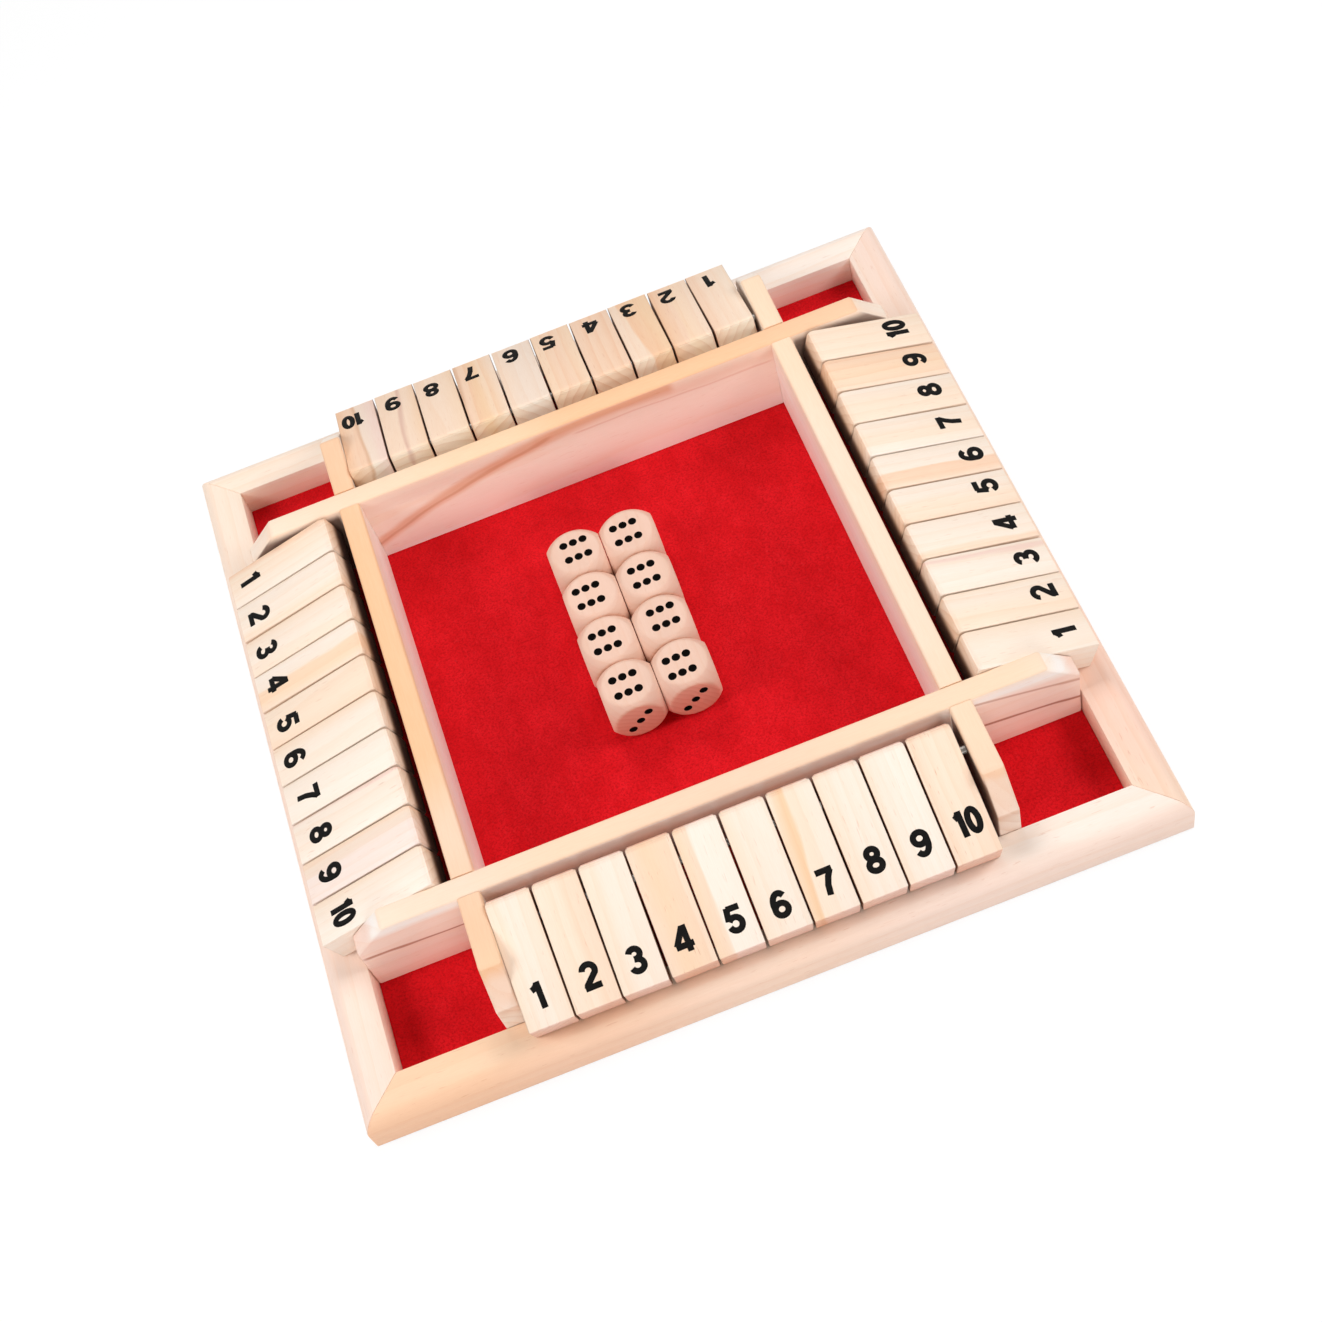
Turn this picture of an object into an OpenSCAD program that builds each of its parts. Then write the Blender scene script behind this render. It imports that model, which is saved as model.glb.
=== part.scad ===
// Four-player shut the box board. A frame of four mitred rails holds a felt-covered base panel.
// Four inner boards, lapped where they cross, wall in the dice tray and carry a steel rod
// along each side. Ten numbered flaps turn on each rod, and eight wooden dice lie in the tray.
// The origin is at the centre of the underside. The front row of flaps faces -Y.

/* [Board] */
// Outside width and length of the board
board_w = 222; // [218:1:240]
// Width of a rail, from its outer face to the inside
rail_w = 11.7; // [10:0.1:14]
// Height of a rail
rail_h = 12.2; // [11:0.1:13.5]
// Radius of the round along a rail's outer top edge
rail_round = 4.6; // [1:0.1:5]
// Thickness of the base panel
panel_t = 2; // [1.5:0.1:3]
// Width of the rabbet under each rail that the panel is glued into
rabbet_w = 4; // [3:0.5:6]
// Thickness of the felt
felt_t = 0.6; // [0.4:0.1:1.2]

/* [Inner frame] */
// Width of the dice tray between two opposite inner boards
tray_w = 126.9; // [118:0.1:130]
// Thickness of an inner board
wall_t = 6.2; // [5:0.1:7]
// Height of the inner boards' top edges above the table
wall_top = 30.2; // [28:0.1:34]
// Radius of a board's long top edges
wall_ease = 0.6; // [0.2:0.1:1.5]
// Length of the slope at each end of a board
slope_run = 9.2; // [4:0.1:12]
// Height of that slope
slope_drop = 8.7; // [4:0.1:12]
// Gap left at each face of a lap joint
lap_gap = 0.05; // [0:0.01:0.2]
// Gap between a board's end and the rail
wall_end_gap = 0.1; // [0:0.05:0.5]

/* [Rods] */
// Diameter of a pivot rod
rod_d = 2.4; // [2:0.1:3]
// Depth of the blind holes that hold a rod's ends
rod_bite = 4; // [2:0.1:5]
// Gap between a rod's end and the bottom of its hole
rod_end_gap = 0.2; // [0.1:0.05:0.5]
// Radial gap round a rod where the boards hold it
rod_seat_gap = 0.02; // [0:0.01:0.05]
// Distance from an inner board's outer face to the rod's axis
rod_out = 9.9; // [9:0.1:11]
// Depth of the rod's axis below the boards' top edges
rod_drop = 5.3; // [4.8:0.1:6]

/* [Flaps] */
// Thickness of a flap
flap_t = 9.5; // [7:0.1:9.8]
// Length of a flap from the rod's axis to its inner end
flap_tail = 7.1; // [5:0.1:7.5]
// Radial gap between a flap's hole and the rod
flap_bore_gap = 0.05; // [0.02:0.01:0.1]
// Gap between two neighbouring flaps
flap_gap = 0.5; // [0.2:0.05:0.8]
// Side play that is left over in each row of flaps
row_play = 1.4; // [1:0.1:4]
// Extra gap between neighbouring flaps in the back and left rows
loose_gap = 0.06; // [0:0.01:0.08]
// Share of that play that the front row has slid to the right
front_slide = -0.9; // [-0.9:0.05:0.9]
// Share of that play that the right row has slid to the back
right_slide = -0.9; // [-0.9:0.05:0.9]
// Share of that play that the back row has slid to the left
back_slide = 0.9; // [-0.9:0.05:0.9]
// Share of that play that the left row has slid to the front
left_slide = 0.9; // [-0.9:0.05:0.9]
// Distance from a rail's outer face to where the flaps rest on it
flap_rest = 6.3; // [5.2:0.1:8]
// Length and height of the bevel on a flap's inner top edge
flap_bevel = 0.9; // [0.5:0.1:2]
// Length and height of the bevel on a flap's inner bottom edge
flap_heel = 0.8; // [0.3:0.1:2]

/* [Dice] */
// Width of a die across its flat faces
die_w = 15.8; // [12:0.1:18]
// Radius of the ball that rounds a die's corners
die_ball = 10.5; // [9.5:0.1:13]
// Smallest gap between two neighbouring dice
die_gap = 0.15; // [0.1:0.05:2]
// Gap under whatever rests on the felt or on a rail
rest_gap = 0.1; // [0.05:0.05:0.3]

/* [Hidden] */
$fn = 64;
sides = ["front", "right", "back", "left"];
flaps = 10;
slides = [front_slide, right_slide, back_slide, left_slide];
turn = 90;
over = 1;

// Heights
felt_top = panel_t + felt_t;
rod_z = wall_top - rod_drop;
lap_z = (felt_top + wall_top) / 2;

// Distances from the centre of the board
half_w = board_w / 2;
rail_in = half_w - rail_w;
wall_in = tray_w / 2;
wall_mid = wall_in + wall_t / 2;
wall_end = rail_in - wall_end_gap;
rod_r = wall_in + wall_t + rod_out;

// A flap hangs from its rod and rests its number end's lower edge on the rail
flap_pitch = (tray_w - row_play) / flaps;
flap_w = flap_pitch - flap_gap;
row_pitch = [flap_pitch, flap_pitch, flap_pitch + loose_gap, flap_pitch + loose_gap];
rest_run = half_w - flap_rest - rod_r;
rest_fall = rod_z - rail_h - rest_gap;
flap_reach = sqrt(pow(rest_run, 2) + pow(rest_fall, 2) - pow(flap_t / 2, 2));
rest_tilt = atan2(rest_fall, rest_run) - atan2(flap_t / 2, flap_reach);

// Dice stand in two columns of four. Each row has its own place and gap across, and its turn.
die_pitch = die_w + die_gap;
dice_rows = 4;
dice_x = -2.6;
dice_y = 4.2;
dice_spread = [0.05, 0.05, 0.1, 0];
dice_sway = [0, 0, -0.4, 0.25];
dice_step = [0.1, 0, 0, 0];

// Turns a piece of the front side round to side s
module on_side(s) {
    rotate([0, 0, turn * s]) children();
}

// Stretches a section drawn in Y and Z along X, centred
module along_x(length) {
    rotate([90, 0, 90])
        translate([0, 0, -length / 2])
            linear_extrude(length) children();
}

// The rail's section, from its outer face at 0 inwards
module rail_section() {
    difference() {
        square([rail_w, rail_h]);
        difference() {
            translate([-over, rail_h - rail_round])
                square([rail_round + over, rail_round + over]);
            translate([rail_round, rail_h - rail_round])
                circle(rail_round);
        }
        translate([rail_w - rabbet_w, -over])
            square([rabbet_w + over, panel_t + over]);
    }
}

module rail(s) {
    color("wheat")
        on_side(s)
            intersection() {
                translate([0, -half_w, 0])
                    along_x(board_w) rail_section();
                linear_extrude(rail_h)
                    polygon([[0, 0], [-half_w, -half_w], [half_w, -half_w]]);
            }
}

module base_panel() {
    panel_w = 2 * (rail_in + rabbet_w) - 2 * wall_end_gap;
    color("peru")
        translate([-panel_w / 2, -panel_w / 2, 0])
            cube([panel_w, panel_w, panel_t]);
}

module felt_lining() {
    felt_w = 2 * (rail_in - wall_end_gap);
    color("crimson")
        translate([-felt_w / 2, -felt_w / 2, panel_t])
            cube([felt_w, felt_w, felt_t]);
}

// The inner board's section, with its two top edges rounded
module wall_section() {
    height = wall_top - felt_top;
    translate([-wall_t / 2, felt_top]) {
        square([wall_t, height - wall_ease]);
        translate([wall_ease, 0])
            square([wall_t - 2 * wall_ease, height]);
        for (x = [wall_ease, wall_t - wall_ease])
            translate([x, height - wall_ease]) circle(wall_ease);
    }
}

// The inner board seen from the front, with a slope at each end
module wall_outline() {
    polygon([
        [-wall_end, felt_top],
        [wall_end, felt_top],
        [wall_end, wall_top - slope_drop],
        [wall_end - slope_run, wall_top],
        [slope_run - wall_end, wall_top],
        [-wall_end, wall_top - slope_drop]
    ]);
}

// Front and back boards are slotted from below, side boards from above
module wall(s) {
    from_below = s % 2 == 0;
    slot_w = wall_t + 2 * lap_gap;
    slot_low = from_below ? felt_top - over : lap_z - lap_gap;
    slot_high = from_below ? lap_z + lap_gap : wall_top + over;
    color("navajowhite")
        on_side(s)
            difference() {
                intersection() {
                    translate([0, -wall_mid, 0])
                        along_x(2 * wall_end) wall_section();
                    translate([0, over - wall_in, 0])
                        rotate([90, 0, 0])
                            linear_extrude(wall_t + 2 * over) wall_outline();
                }
                for (x = [-wall_mid, wall_mid])
                    translate([x - slot_w / 2, -wall_in - wall_t - over, slot_low])
                        cube([slot_w, wall_t + 2 * over, slot_high - slot_low]);
                for (x = [-rod_r, rod_r])
                    translate([x, over - wall_in, rod_z])
                        rotate([90, 0, 0])
                            cylinder(r = rod_d / 2 + rod_seat_gap, h = rod_bite + over);
            }
}

module pivot_rods() {
    rod_length = tray_w + 2 * (rod_bite - rod_end_gap);
    color("silver")
        for (s = [0 : 3])
            on_side(s)
                translate([0, -rod_r, rod_z])
                    rotate([0, 90, 0])
                        cylinder(d = rod_d, h = rod_length, center = true);
}

// The flap's section in Y and Z about the rod, with the number end towards -Y
module flap_section() {
    half_t = flap_t / 2;
    polygon([
        [-flap_reach, -half_t],
        [flap_tail - flap_heel, -half_t],
        [flap_tail, flap_heel - half_t],
        [flap_tail, half_t - flap_bevel],
        [flap_tail - flap_bevel, half_t],
        [-flap_reach, half_t]
    ]);
}

module flap(s, number) {
    spare = tray_w - (flaps - 1) * row_pitch[s] - flap_w;
    x = (number - (flaps + 1) / 2) * row_pitch[s] + slides[s] * spare / 2;
    color("bisque")
        on_side(s)
            translate([x, -rod_r, rod_z])
                rotate([rest_tilt, 0, 0])
                    difference() {
                        along_x(flap_w) flap_section();
                        rotate([0, 90, 0])
                            cylinder(
                                r = rod_d / 2 + flap_bore_gap,
                                h = flap_w + 2 * over,
                                center = true
                            );
                    }
}

// Odd dice stand in the left column and even ones in the right, from back to front
module die(number) {
    row = floor((number - 1) / 2);
    column = number % 2 == 0 ? 1 : -1;
    x = dice_x + dice_sway[row] + column * (die_pitch + dice_spread[row]) / 2;
    y = dice_y + (1.5 - row) * die_pitch + dice_step[row];
    color("blanchedalmond")
        translate([x, y, felt_top + rest_gap + die_w / 2])
            intersection() {
                cube(die_w, center = true);
                sphere(r = die_ball);
            }
}

base_panel();
felt_lining();
pivot_rods();
for (s = [0 : 3])
    rail(s);
for (s = [0 : 3])
    wall(s);
for (s = [0 : 3])
    for (n = [1 : flaps])
        flap(s, n);
for (n = [1 : 2 * dice_rows])
    die(n);
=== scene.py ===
import math

import bmesh
import bpy
from mathutils import Euler, Matrix, Vector


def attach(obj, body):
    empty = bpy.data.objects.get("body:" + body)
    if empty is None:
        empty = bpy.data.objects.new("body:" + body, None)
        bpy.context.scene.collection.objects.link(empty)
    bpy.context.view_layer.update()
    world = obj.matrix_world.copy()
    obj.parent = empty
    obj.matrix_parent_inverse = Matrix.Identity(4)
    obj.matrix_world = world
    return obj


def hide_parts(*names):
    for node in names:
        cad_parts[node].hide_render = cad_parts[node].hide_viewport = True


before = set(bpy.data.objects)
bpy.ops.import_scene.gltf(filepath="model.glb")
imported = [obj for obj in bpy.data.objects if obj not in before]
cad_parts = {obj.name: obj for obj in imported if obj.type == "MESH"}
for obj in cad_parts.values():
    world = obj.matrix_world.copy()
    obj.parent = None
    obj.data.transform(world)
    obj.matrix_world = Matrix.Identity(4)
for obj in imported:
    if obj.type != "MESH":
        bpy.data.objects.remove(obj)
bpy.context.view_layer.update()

mm = 0.001
sides = ["front", "right", "back", "left"]

# sizes in mm, as in the CAD, but for the eased edges, corner, tipCorner and endShort, which are added here
board = {"width": 222, "railWidth": 11.7, "railHeight": 12.2, "railRound": 4.6, "railEase": 0.28,
         "panel": 2.0, "rabbet": 4.0, "felt": 0.6, "endGap": 0.1}
inner = {"tray": 126.9, "thick": 6.2, "top": 30.2, "ease": 0.7, "slopeRun": 9.2, "slopeDrop": 8.7,
         "lapGap": 0.05, "endShort": 0.3}
rods = {"radius": 1.2, "bite": 4.0, "out": 9.9, "drop": 5.3, "seatGap": 0.02}
flap = {"count": 10, "pitch": [12.55, 12.55, 12.61, 12.61], "slide": [-0.9, -0.9, 0.9, 0.9], "wide": 12.05,
        "thick": 9.5, "tail": 7.1, "boreRadius": 1.25, "bevel": 0.9, "heel": 0.8, "corner": 0.8,
        "tipCorner": 0.5, "ease": 0.22, "rest": 6.3, "gap": 0.1}
dice = {"rows": 4, "wide": 15.8, "ball": 10.5, "cuts": 29, "pitch": 15.95, "x": -2.6, "y": 4.2, "gap": 0.1,
        "spread": [0.05, 0.05, 0.1, 0.0], "sway": [0.0, 0.0, -0.4, 0.25], "step": [0.1, 0.0, 0.0, 0.0]}
overcut = 2  # how far a cutter stands past what it cuts
atFace = 0.1  # how close to a face an edge counts as its own

halfBoard = board["width"] / 2
railIn = halfBoard - board["railWidth"]
feltTop = board["panel"] + board["felt"]
wallIn = inner["tray"] / 2
wallOut = wallIn + inner["thick"]
wallMid = (wallIn + wallOut) / 2
wallEnd = railIn - board["endGap"]
rodR = wallOut + rods["out"]
rodZ = inner["top"] - rods["drop"]
restRun = halfBoard - flap["rest"] - rodR
restFall = rodZ - board["railHeight"] - flap["gap"]
flapReach = math.sqrt(restRun ** 2 + restFall ** 2 - (flap["thick"] / 2) ** 2)
flapTilt = math.atan2(restFall, restRun) - math.atan2(flap["thick"] / 2, flapReach)


# hand tools

def clearSelection():
    if bpy.context.object and bpy.context.object.mode != "OBJECT":
        bpy.ops.object.mode_set(mode="OBJECT")
    bpy.ops.object.select_all(action="DESELECT")


def pick(obj):
    clearSelection()
    obj.select_set(True)
    bpy.context.view_layer.objects.active = obj


def applyPlace(obj):
    pick(obj)
    bpy.ops.object.transform_apply(location=True, rotation=True, scale=True)


def addBox(name, low, high):
    low, high = Vector(low) * mm, Vector(high) * mm
    clearSelection()
    bpy.ops.mesh.primitive_cube_add(size=1, location=(low + high) / 2, scale=high - low)
    obj = bpy.context.object
    obj.name = name
    applyPlace(obj)
    return obj


def addRod(name, radius, start, end, around=32):
    start, end = Vector(start) * mm, Vector(end) * mm
    clearSelection()
    turn = (end - start).to_track_quat("Z", "Y").to_euler()
    bpy.ops.mesh.primitive_cylinder_add(vertices=around, radius=radius * mm, depth=(end - start).length,
                                        location=(start + end) / 2, rotation=turn)
    obj = bpy.context.object
    obj.name = name
    applyPlace(obj)
    return obj


def cutAway(obj, cutters, operation="DIFFERENCE"):
    for cutter in cutters:
        pick(obj)
        modifier = obj.modifiers.new("cut", "BOOLEAN")
        modifier.operation = operation
        modifier.solver = "EXACT"
        modifier.object = cutter
        modifier.material_mode = "TRANSFER"
        bpy.ops.object.modifier_apply(modifier="cut")
        bpy.data.objects.remove(cutter, do_unlink=True)


def easeEdges(obj, width, segments=2, angle=35):
    pick(obj)
    modifier = obj.modifiers.new("ease", "BEVEL")
    modifier.width = width * mm
    modifier.segments = segments
    modifier.limit_method = "ANGLE"
    modifier.angle_limit = math.radians(angle)
    bpy.ops.object.modifier_apply(modifier="ease")


# rounds the edges whose two ends both pass the test; places are in mm
def roundEdges(obj, test, width, segments):
    pick(obj)
    bpy.ops.object.mode_set(mode="EDIT")
    bpy.ops.mesh.select_mode(type="EDGE")
    bpy.ops.mesh.select_all(action="DESELECT")
    mesh = bmesh.from_edit_mesh(obj.data)
    for edge in mesh.edges:
        edge.select_set(all(test(v.co / mm) for v in edge.verts))
    bmesh.update_edit_mesh(obj.data)
    bpy.ops.mesh.bevel(offset=width * mm, segments=segments, affect="EDGES")
    bpy.ops.object.mode_set(mode="OBJECT")


# cuts off what lies on the far side of a plane and closes the cut
def trim(obj, point, normal):
    pick(obj)
    bpy.ops.object.mode_set(mode="EDIT")
    bpy.ops.mesh.select_all(action="SELECT")
    bpy.ops.mesh.bisect(plane_co=Vector(point) * mm, plane_no=Vector(normal).normalized(),
                        use_fill=True, clear_outer=True)
    bpy.ops.object.mode_set(mode="OBJECT")


def shade(obj, angle=30):
    pick(obj)
    bpy.ops.object.shade_smooth_by_angle(angle=math.radians(angle))


def copyPiece(obj, name, matrix):
    mesh = obj.data.copy()
    mesh.transform(matrix)
    mesh.name = name
    copy = bpy.data.objects.new(name, mesh)
    bpy.context.scene.collection.objects.link(copy)
    return copy


def onSide(side):
    return Matrix.Rotation(math.radians(90 * side), 4, "Z")


def dress(obj, *materials):
    obj.data.materials.clear()
    for material in materials:
        obj.data.materials.append(material)


def settle(obj, body, node=None):
    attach(obj, body)
    if node:
        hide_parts(node)


# colours and shader helpers

# wood tones from pale to deep, which rails, boards, flaps and dice share
woodTones = {"chalk": "fffaf4", "milk": "fdf4ee", "cream": "fff0e2", "ivory": "fdecdc", "shell": "fbe8de",
             "vanilla": "fde6d0", "linen": "f8e2d0", "sand": "fce0c8", "straw": "fcdcbe", "blush": "f8dacc",
             "peach": "fad6ba", "wheat": "fad4ae", "apricot": "f8cca8", "honey": "f8c69a", "rose": "ecc6b2",
             "biscuit": "e7c1ad", "tea": "e8be9e"}


# takes a wood tone's name or a plain hex code
def tint(tone):
    code = woodTones.get(tone, tone)
    parts = [int(code[i:i + 2], 16) / 255 for i in (0, 2, 4)]
    return tuple(c / 12.92 if c <= 0.04045 else ((c + 0.055) / 1.055) ** 2.4 for c in parts) + (1.0,)


def addNode(tree, kind, inputs=None, **values):
    node = tree.nodes.new(kind)
    for key, value in values.items():
        setattr(node, key, value)
    for key, value in (inputs or {}).items():
        if isinstance(value, bpy.types.NodeSocket):
            tree.links.new(value, node.inputs[key])
        else:
            node.inputs[key].default_value = value
    return node


def calc(tree, operation, a, b=None, c=None):
    given = {i: value for i, value in enumerate((a, b, c)) if value is not None}
    return addNode(tree, "ShaderNodeMath", given, operation=operation).outputs[0]


def calcVector(tree, operation, a, b):
    second = "Scale" if operation == "SCALE" else 1
    return addNode(tree, "ShaderNodeVectorMath", {0: a, second: b}, operation=operation).outputs[0]


# noise with so many lumps to a unit of length, alike or different along the three axes
def speckle(tree, vector, lumps, detail=2.0, rough=0.5):
    if not isinstance(lumps, tuple):
        lumps = (lumps, lumps, lumps)
    scaled = calcVector(tree, "MULTIPLY", vector, lumps)
    return addNode(tree, "ShaderNodeTexNoise",
                   {"Vector": scaled, "Scale": 1.0, "Detail": detail, "Roughness": rough}).outputs


# a smooth step from toLow to toHigh while the value goes from low to high
def spread(tree, value, low, high, toLow=0.0, toHigh=1.0):
    node = addNode(tree, "ShaderNodeMapRange", {"Value": value, "From Min": low, "From Max": high,
                                                "To Min": toLow, "To Max": toHigh})
    node.interpolation_type = "SMOOTHSTEP"
    return node.outputs["Result"]


# a mask that changes from 0 to 1 between two depths in mm under the face that lies at this place
def nearFace(tree, value, face, depths):
    return spread(tree, value, (face - depths[0]) * mm, (face - depths[1]) * mm)


def blend(tree, kind, factor, a, b):
    node = addNode(tree, "ShaderNodeMix", data_type="RGBA", blend_type=kind)
    for key, value in (("Factor_Float", factor), ("A_Color", a), ("B_Color", b)):
        socket = next(s for s in node.inputs if s.identifier == key)
        if isinstance(value, bpy.types.NodeSocket):
            tree.links.new(value, socket)
        else:
            socket.default_value = value
    return next(s for s in node.outputs if s.identifier == "Result_Color")


# lays a tone over a colour where the mask says, at most by the amount
def stain(tree, colour, mask, amount, tone, kind="MULTIPLY"):
    return blend(tree, kind, calc(tree, "MULTIPLY", mask, amount), colour, tint(tone))


# a smooth run through tones, each at its place from 0 to 1
def toneRamp(tree, value, tones):
    node = addNode(tree, "ShaderNodeValToRGB", {"Fac": value})
    node.color_ramp.interpolation = "EASE"
    stops = node.color_ramp.elements
    stops.remove(stops[1])
    for i, (where, tone) in enumerate(tones):
        stop = stops[0] if i == 0 else stops.new(where)
        stop.position = where
        stop.color = tint(tone)
    return node.outputs["Color"]


def objectPlace(tree):
    return addNode(tree, "ShaderNodeTexCoord").outputs["Object"]


def newMaterial(name):
    material = bpy.data.materials.new(name)
    material.use_nodes = True
    tree = material.node_tree
    return material, tree, tree.nodes["Principled BSDF"]


# relief is the height, its strength and its depth in mm
def finishSkin(tree, skin, colour, roughness, specular=0.5, relief=None):
    tree.links.new(colour, skin.inputs["Base Color"])
    tree.links.new(roughness, skin.inputs["Roughness"])
    skin.inputs["Specular IOR Level"].default_value = specular
    if relief:
        height, strength, depth = relief
        bump = addNode(tree, "ShaderNodeBump",
                       {"Strength": strength, "Distance": depth * mm, "Height": height})
        tree.links.new(bump.outputs[0], skin.inputs["Normal"])


# shared effects

# each noise has its lumps to a mm along the three axes and the levels between which it shows
grainLook = {"seedAway": (17.3, 41.7, 29.1), "sway": (0.09, 0.014, 0.09), "lateWood": 2.6,
             "ringEnd": (1.0, 0.93), "fibre": (5.5, 0.2, 5.5), "fibreShown": (0.32, 0.70),
             "pores": (2.4, 0.24, 2.4), "poresShown": (0.68, 0.77), "cloud": (0.2, 0.045, 0.2),
             "cloudShown": (0.3, 0.7), "fibreHeight": 0.6, "ringHeight": 0.4}


# solid pine: local y runs along the grain, places come in metres
def buildPineGrain():
    tree = bpy.data.node_groups.new("pineGrain", "ShaderNodeTree")
    face = tree.interface
    face.new_socket("Place", in_out="INPUT", socket_type="NodeSocketVector")
    for label, value in (("Seed", 0.0), ("Ring Width", 2.4), ("Pith Across", 34.0), ("Pith Deep", -42.0),
                         ("Waviness", 3.0)):
        face.new_socket(label, in_out="INPUT", socket_type="NodeSocketFloat").default_value = value
    for label in ("Rings", "Fibre", "Pores", "Cloud", "Height"):
        face.new_socket(label, in_out="OUTPUT", socket_type="NodeSocketFloat")
    given = addNode(tree, "NodeGroupInput").outputs
    out = addNode(tree, "NodeGroupOutput")
    place = calcVector(tree, "MULTIPLY", given["Place"], (1 / mm, 1 / mm, 1 / mm))
    steps = {}
    for axis, step in zip("XYZ", grainLook["seedAway"]):
        steps[axis] = calc(tree, "MULTIPLY", given["Seed"], step)
    own = calcVector(tree, "ADD", place, addNode(tree, "ShaderNodeCombineXYZ", steps).outputs[0])
    sway = calcVector(tree, "SUBTRACT", speckle(tree, own, grainLook["sway"])["Color"], (0.5, 0.5, 0.5))
    bent = calcVector(tree, "ADD", place, calcVector(tree, "SCALE", sway, given["Waviness"]))
    part = addNode(tree, "ShaderNodeSeparateXYZ", {0: bent}).outputs
    across = calc(tree, "SUBTRACT", part["X"], given["Pith Across"])
    deep = calc(tree, "SUBTRACT", part["Z"], given["Pith Deep"])
    squares = calc(tree, "ADD", calc(tree, "MULTIPLY", across, across), calc(tree, "MULTIPLY", deep, deep))
    ring = calc(tree, "FRACT", calc(tree, "DIVIDE", calc(tree, "SQRT", squares), given["Ring Width"]))
    ring = calc(tree, "MULTIPLY", calc(tree, "POWER", ring, grainLook["lateWood"]),
                spread(tree, ring, *grainLook["ringEnd"]))
    fibre = spread(tree, speckle(tree, own, grainLook["fibre"], 3.0, 0.6)["Fac"], *grainLook["fibreShown"])
    pores = spread(tree, speckle(tree, own, grainLook["pores"], 1.0)["Fac"], *grainLook["poresShown"])
    cloud = spread(tree, speckle(tree, own, grainLook["cloud"], 1.5)["Fac"], *grainLook["cloudShown"])
    height = calc(tree, "ADD", calc(tree, "MULTIPLY", fibre, grainLook["fibreHeight"]),
                  calc(tree, "MULTIPLY", ring, grainLook["ringHeight"]))
    height = calc(tree, "SUBTRACT", height, pores)
    for label, value in (("Rings", ring), ("Fibre", fibre), ("Pores", pores), ("Cloud", cloud),
                         ("Height", height)):
        tree.links.new(value, out.inputs[label])
    return tree


pineGrain = buildPineGrain()

# materials

# tints of the grain, of end grain and of painted shade (on board ends beside the flaps, on flap sides and at
# hinge heels), and in mm the depths from a face between which each place begins
pineLook = {"ringTint": "f4cfa6", "fibreTint": "f4e6d6", "poreTint": "d8a888", "drift": 0.9,
            "topDepth": (0.7, 0.3), "bareFibre": 0.2, "streakFade": 3,
            "cheekShadeTint": "5a2c12", "cheekAlong": (-0.15, -1.35), "cheekDepth": (0.5, 0.1),
            "cheekTop": (0.4, 3.8),
            "sideShadeTint": "70492f", "sideDepth": (0.2, 0.08),
            "endTint": "f3e3d8", "endShare": 0.85, "endDepth": (0.45, 0.1), "endRingTint": "d4b096",
            "tailShadeHeight": (3.4, -2.5), "tailShadeDepth": (0.5, 0.1),
            "heelShadeTint": "3c1509", "heelHeight": (1.6, -1.6), "heelDepth": (1.4, 1.0),
            "rough": (0.46, 0.6), "specular": 0.35, "relief": 0.18, "reliefDepth": 0.04}


# the grain lines on a board's inner face, one for each streak
def drawStreaks(tree, colour, look, part, drift, top):
    for streak in look.get("streaks", []):
        bowed = calc(tree, "MULTIPLY_ADD", part["Y"], streak.get("bow", 0.0) / mm, streak["slope"])
        centre = calc(tree, "MULTIPLY_ADD", bowed, part["Y"], streak["at"] * mm)
        off = calc(tree, "ABSOLUTE", calc(tree, "SUBTRACT", calc(tree, "ADD", part["X"], drift), centre))
        mask = calc(tree, "MULTIPLY", spread(tree, off, streak["thick"] * mm, 0.2 * streak["thick"] * mm),
                    calc(tree, "SUBTRACT", 1.0, top))
        low, high = streak["span"]
        for end, inside in ((low, low + pineLook["streakFade"]), (high, high - pineLook["streakFade"])):
            mask = calc(tree, "MULTIPLY", mask, spread(tree, part["Y"], end * mm, inside * mm))
        colour = stain(tree, colour, mask, streak["amount"], streak["tint"])
    return colour


# one amount where the value is below zero and another above it
def eitherWay(tree, value, amounts):
    low, high = amounts
    return calc(tree, "MULTIPLY_ADD", calc(tree, "GREATER_THAN", value, 0.0), high - low, low)


# painted shade on the inner sides of a board's two ends, dark beside the flaps
def paintCheekShade(tree, colour, look, part):
    amount = eitherWay(tree, part["Y"], look["cheekShade"])
    along = nearFace(tree, calc(tree, "ABSOLUTE", part["Y"]), wallOut, pineLook["cheekAlong"])
    deep = nearFace(tree, part["Z"], inner["thick"] / 2, pineLook["cheekDepth"])
    below = nearFace(tree, part["X"], look["wide"] / 2, pineLook["cheekTop"])
    dusk = calc(tree, "MULTIPLY", calc(tree, "MULTIPLY", along, deep), below)
    return stain(tree, colour, dusk, amount, pineLook["cheekShadeTint"])


# painted shade on the sides that face the next flap, one amount for each side
def paintSideShade(tree, colour, look, part):
    amount = eitherWay(tree, part["X"], look["sides"])
    mask = nearFace(tree, calc(tree, "ABSOLUTE", part["X"]), look["wide"] / 2, pineLook["sideDepth"])
    return stain(tree, colour, mask, amount, pineLook["sideShadeTint"])
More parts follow.
